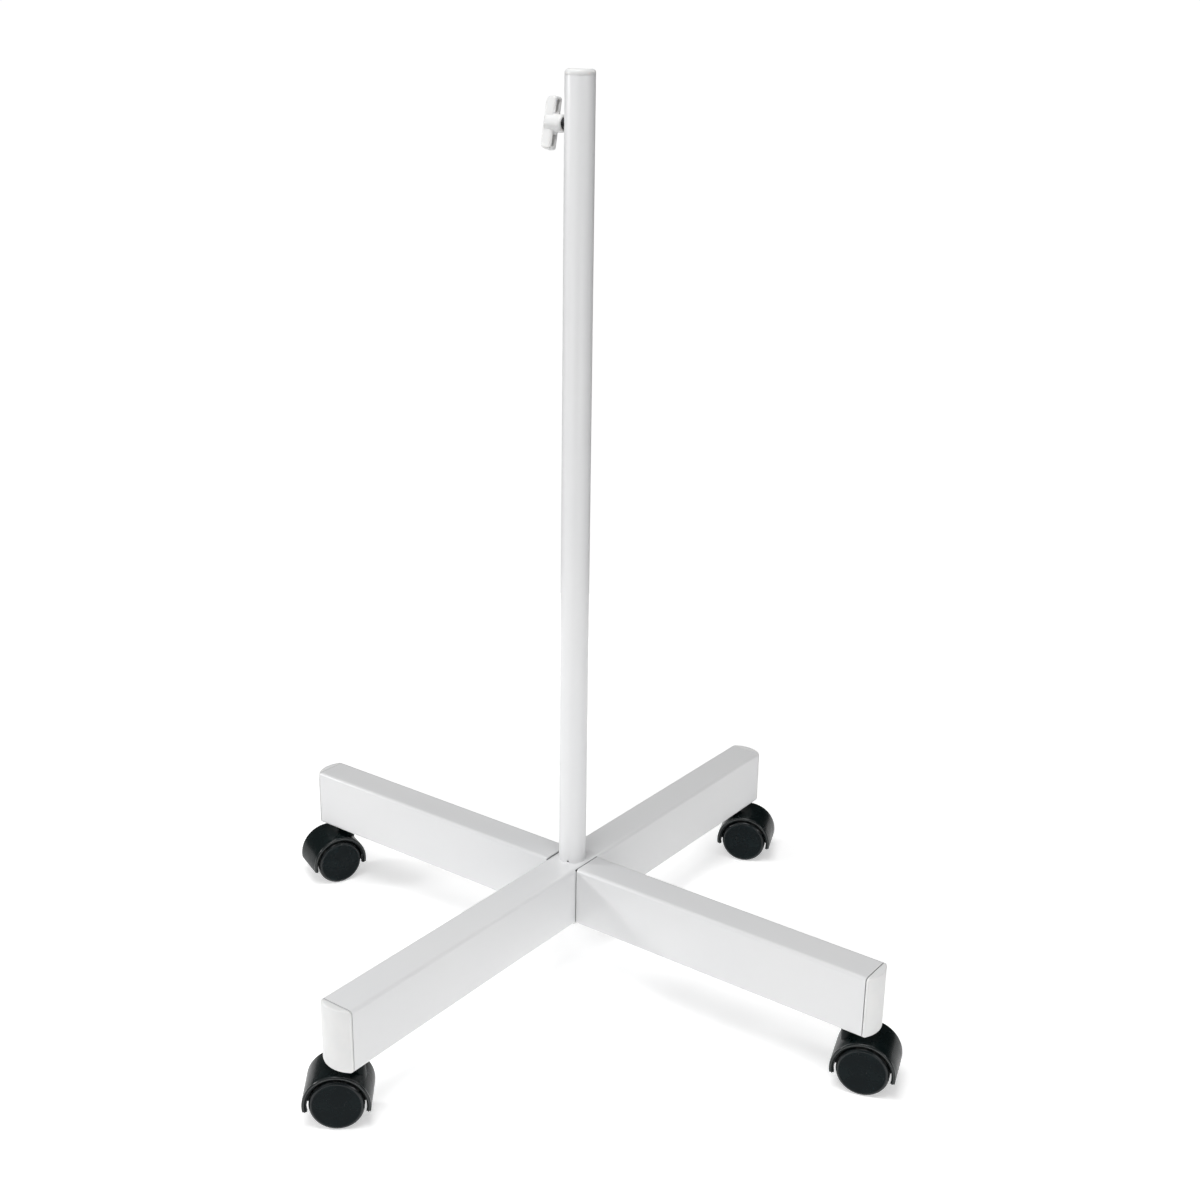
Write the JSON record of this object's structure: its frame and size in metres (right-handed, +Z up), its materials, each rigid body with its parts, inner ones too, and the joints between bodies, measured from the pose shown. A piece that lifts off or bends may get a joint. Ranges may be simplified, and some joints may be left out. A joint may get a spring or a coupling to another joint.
{
  "type": "rolling drip stand base",
  "caption": "Low rolling drip stand: a cross of rectangular tubes on twin-wheel casters and a round mast whose open top takes a pole, clamped by a wing screw.",
  "frame": {"origin": "where the mast's axis meets the floor that the wheels stand on", "axes": "+Z up along the mast; the long leg lies along Y and the side legs along X; the wing screw is on the -X side"},
  "size_m": [0.5936, 0.5741, 0.717],
  "materials": {
    "white_powder_coat": "semi-gloss white powder coat with fine orange peel",
    "white_plastic": "moulded white plastic, fine grain",
    "black_hood_plastic": "moulded black nylon, fine grain, slight sheen",
    "black_wheel_plastic": "moulded black nylon, smooth, slight sheen",
    "zinc_steel": "bright zinc plated",
    "dark_steel": "blackened screw thread",
    "natural_nylon": "natural nylon"
  },
  "bodies": {
    "stand": {"long_leg": "white_powder_coat", "side_leg_right": "white_powder_coat", "side_leg_left": "white_powder_coat", "end_cap_front": "white_plastic", "end_cap_right": "white_plastic", "end_cap_left": "white_plastic", "end_cap_back": "white_plastic", "mast_tube": "white_powder_coat", "mast_foot_plug": "zinc_steel", "crossing_spacer": "zinc_steel", "mast_bolt_washer": "zinc_steel", "mast_bolt": "zinc_steel", "mast_bush": "white_plastic", "clamp_thread_insert": "zinc_steel", "caster_thread_inserts": "zinc_steel", "caster_stems": "zinc_steel", "caster_stem_clips": "zinc_steel"},
    "screw_pad": {"clamp_pad": "natural_nylon"},
    "wing_screw": {"wing_knob": "white_plastic", "clamp_stud": "dark_steel"},
    "caster_front": {"caster_hood_front": "black_hood_plastic", "caster_axle_front": "zinc_steel"},
    "wheel_front_a": {"caster_wheel_front_a": "black_wheel_plastic"},
    "wheel_front_b": {"caster_wheel_front_b": "black_wheel_plastic"},
    "caster_right": {"caster_hood_right": "black_hood_plastic", "caster_axle_right": "zinc_steel"},
    "wheel_right_a": {"caster_wheel_right_a": "black_wheel_plastic"},
    "wheel_right_b": {"caster_wheel_right_b": "black_wheel_plastic"},
    "caster_left": {"caster_hood_left": "black_hood_plastic", "caster_axle_left": "zinc_steel"},
    "wheel_left_a": {"caster_wheel_left_a": "black_wheel_plastic"},
    "wheel_left_b": {"caster_wheel_left_b": "black_wheel_plastic"},
    "caster_back": {"caster_hood_back": "black_hood_plastic", "caster_axle_back": "zinc_steel"},
    "wheel_back_a": {"caster_wheel_back_a": "black_wheel_plastic"},
    "wheel_back_b": {"caster_wheel_back_b": "black_wheel_plastic"}
  },
  "joints": [
    {"name": "screw_travel", "type": "slide", "parent": "stand", "child": "screw_pad", "axis": [-1, 0, 0], "range_m": [-0.00101, 0.00126]},
    {"name": "screw_turn", "type": "hinge", "parent": "screw_pad", "child": "wing_screw", "pos_m": [-0.0136, 0, 0.6795], "axis": [-1, 0, 0], "range_deg": [-288, 360]},
    {"name": "swivel_front", "type": "hinge", "parent": "stand", "child": "caster_front", "pos_m": [0, -0.254, 0.047], "axis": [0, 0, 1], "continuous": true},
    {"name": "roll_front_a", "type": "hinge", "parent": "caster_front", "child": "wheel_front_a", "pos_m": [-0.01007, -0.26222, 0.02], "axis": [0.632, -0.7749, 0], "continuous": true},
    {"name": "roll_front_b", "type": "hinge", "parent": "caster_front", "child": "wheel_front_b", "pos_m": [-0.01007, -0.26222, 0.02], "axis": [0.632, -0.7749, 0], "continuous": true},
    {"name": "swivel_right", "type": "hinge", "parent": "stand", "child": "caster_right", "pos_m": [0.261, 0, 0.047], "axis": [0, 0, 1], "continuous": true},
    {"name": "roll_right_a", "type": "hinge", "parent": "caster_right", "child": "wheel_right_a", "pos_m": [0.27334, 0.00408, 0.02], "axis": [-0.314, 0.9494, 0], "continuous": true},
    {"name": "roll_right_b", "type": "hinge", "parent": "caster_right", "child": "wheel_right_b", "pos_m": [0.27334, 0.00408, 0.02], "axis": [-0.314, 0.9494, 0], "continuous": true},
    {"name": "swivel_left", "type": "hinge", "parent": "stand", "child": "caster_left", "pos_m": [-0.261, 0, 0.047], "axis": [0, 0, 1], "continuous": true},
    {"name": "roll_left_a", "type": "hinge", "parent": "caster_left", "child": "wheel_left_a", "pos_m": [-0.26635, -0.01185, 0.02], "axis": [0.9114, -0.4115, 0], "continuous": true},
    {"name": "roll_left_b", "type": "hinge", "parent": "caster_left", "child": "wheel_left_b", "pos_m": [-0.26635, -0.01185, 0.02], "axis": [0.9114, -0.4115, 0], "continuous": true},
    {"name": "swivel_back", "type": "hinge", "parent": "stand", "child": "caster_back", "pos_m": [0, 0.254, 0.047], "axis": [0, 0, 1], "continuous": true},
    {"name": "roll_back_a", "type": "hinge", "parent": "caster_back", "child": "wheel_back_a", "pos_m": [0.01205, 0.25889, 0.02], "axis": [-0.3762, 0.9265, 0], "continuous": true},
    {"name": "roll_back_b", "type": "hinge", "parent": "caster_back", "child": "wheel_back_b", "pos_m": [0.01205, 0.25889, 0.02], "axis": [-0.3762, 0.9265, 0], "continuous": true}
  ],
  "couplings": [
    {"joint": "screw_travel", "follows": "screw_turn", "m_per_rad": 0.00019894}
  ]
}
